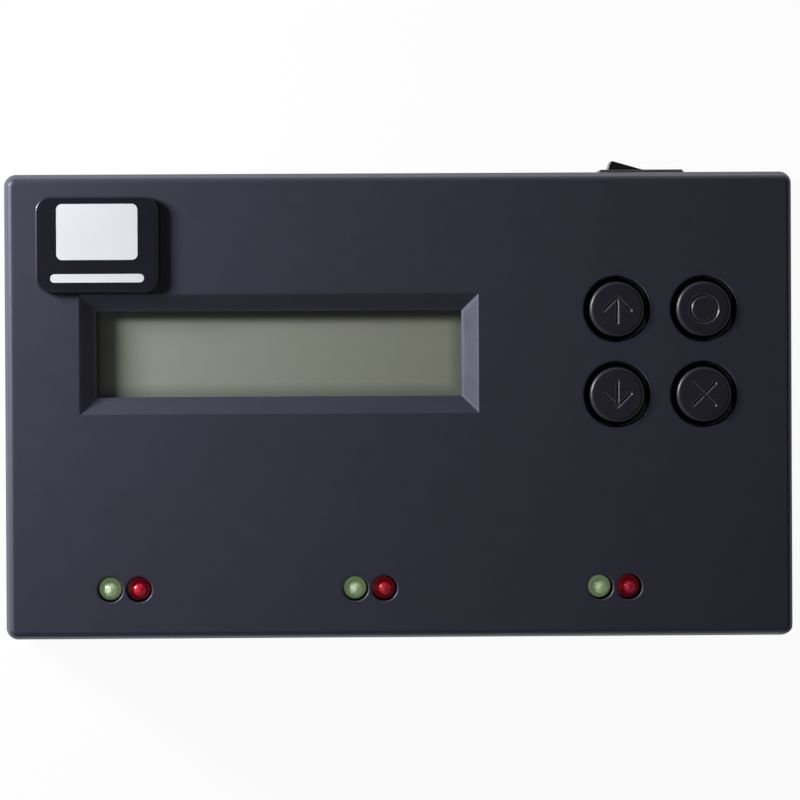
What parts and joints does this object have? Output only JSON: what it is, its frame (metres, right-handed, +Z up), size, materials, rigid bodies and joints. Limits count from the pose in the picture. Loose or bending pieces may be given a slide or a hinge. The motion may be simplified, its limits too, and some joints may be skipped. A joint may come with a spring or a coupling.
{
  "type": "sd card duplicator",
  "caption": "Flat desktop card copier: two-part plastic case, display window, round keys, status lamps, card slots in the front wall, rocker switch and power inlet in the rear wall.",
  "frame": {"origin": "on the table under the middle of the part's bounding box", "axes": "+X to the right, +Y to the rear (switch side), +Z up; the card slots face -Y"},
  "size_m": [0.139, 0.084, 0.0333],
  "materials": {
    "case_plastic": "fine matte texture",
    "foot_rubber": "matte",
    "screw_steel": "zinc plated",
    "badge_plastic": "satin gloss",
    "badge_white": "satin",
    "gasket_foam": "closed-cell foam",
    "display_frame_metal": "black lacquer",
    "display_glass": "gloss, unlit grey-green",
    "strip_rubber": "layered silicone",
    "light_guide": "diffusing",
    "board_laminate": "solder mask",
    "black_moulding": "moulded",
    "pin_metal": "gold flash",
    "bright_sheet": "tin plated",
    "spacer_nylon": "natural nylon",
    "chip_black": "moulded epoxy",
    "inductor_ferrite": "ferrite",
    "capacitor_can": "bare can",
    "switch_plastic": "satin",
    "rocker_plastic": "satin",
    "wire_insulation": "pvc",
    "plug_white": "moulded nylon",
    "lamp_green_lens": "diffused epoxy",
    "lamp_red_lens": "diffused epoxy",
    "key_plastic": "satin",
    "plunger_plastic": "moulded"
  },
  "bodies": {
    "case": {"badge_inlays": "badge_white", "badge_plaque": "badge_plastic", "board_screws": "screw_steel", "capacitors": "capacitor_can", "case_screws": "screw_steel", "clock_crystal": "bright_sheet", "controller_chip": "chip_black", "display_board": "board_laminate", "display_frame": "display_frame_metal", "display_glass": "display_glass", "display_light_guide": "light_guide", "display_pin_strip": "black_moulding", "display_pins": "pin_metal", "display_strips": "strip_rubber", "jack_body": "black_moulding", "jack_leaf": "bright_sheet", "jack_pin": "bright_sheet", "lamp_green_source": "lamp_green_lens", "lamp_green_target_1": "lamp_green_lens", "lamp_green_target_2": "lamp_green_lens", "lamp_leads": "bright_sheet", "lamp_red_source": "lamp_red_lens", "lamp_red_target_1": "lamp_red_lens", "lamp_red_target_2": "lamp_red_lens", "lamp_spacers": "spacer_nylon", "link_pins": "black_moulding", "link_socket": "black_moulding", "lower_shell": "case_plastic", "main_board": "board_laminate", "memory_chips": "chip_black", "panel_board": "board_laminate", "power_inductor": "inductor_ferrite", "rubber_feet": "foot_rubber", "socket_base_source": "black_moulding", "socket_base_target_1": "black_moulding", "socket_base_target_2": "black_moulding", "socket_contacts": "pin_metal", "socket_cover_source": "bright_sheet", "socket_cover_target_1": "bright_sheet", "socket_cover_target_2": "bright_sheet", "switch_housing": "switch_plastic", "switch_terminals": "pin_metal", "switch_wires": "wire_insulation", "tact_bases": "black_moulding", "tact_covers": "bright_sheet", "tact_legs": "bright_sheet", "upper_shell": "case_plastic", "window_gasket": "gasket_foam", "wire_plug": "plug_white"},
    "key_up": {"key_cap_up": "key_plastic", "key_plunger_up": "plunger_plastic"},
    "key_ring": {"key_cap_ring": "key_plastic", "key_plunger_ring": "plunger_plastic"},
    "key_down": {"key_cap_down": "key_plastic", "key_plunger_down": "plunger_plastic"},
    "key_cross": {"key_cap_cross": "key_plastic", "key_plunger_cross": "plunger_plastic"},
    "rocker": {"switch_rocker": "rocker_plastic"},
    "seesaw": {"switch_seesaw": "pin_metal"}
  },
  "joints": [
    {"name": "key_up_press", "type": "slide", "parent": "case", "child": "key_up", "axis": [0, 0, -1], "range_m": [0, 0.0003], "stiffness_N_per_m": 1000},
    {"name": "key_ring_press", "type": "slide", "parent": "case", "child": "key_ring", "axis": [0, 0, -1], "range_m": [0, 0.0003], "stiffness_N_per_m": 1000},
    {"name": "key_down_press", "type": "slide", "parent": "case", "child": "key_down", "axis": [0, 0, -1], "range_m": [0, 0.0003], "stiffness_N_per_m": 1000},
    {"name": "key_cross_press", "type": "slide", "parent": "case", "child": "key_cross", "axis": [0, 0, -1], "range_m": [0, 0.0003], "stiffness_N_per_m": 1000},
    {"name": "rocker_turn", "type": "hinge", "parent": "case", "child": "rocker", "pos_m": [0.0432, 0.03925, 0.0148], "axis": [0, 0, 1], "range_deg": [0, 21]},
    {"name": "seesaw_tilt", "type": "hinge", "parent": "case", "child": "seesaw", "pos_m": [0.0432, 0.0329, 0.0148], "axis": [0, 0, 1], "range_deg": [-12, 0]}
  ],
  "couplings": [
    {"joint": "seesaw_tilt", "follows": "rocker_turn", "ratio": -0.571}
  ]
}
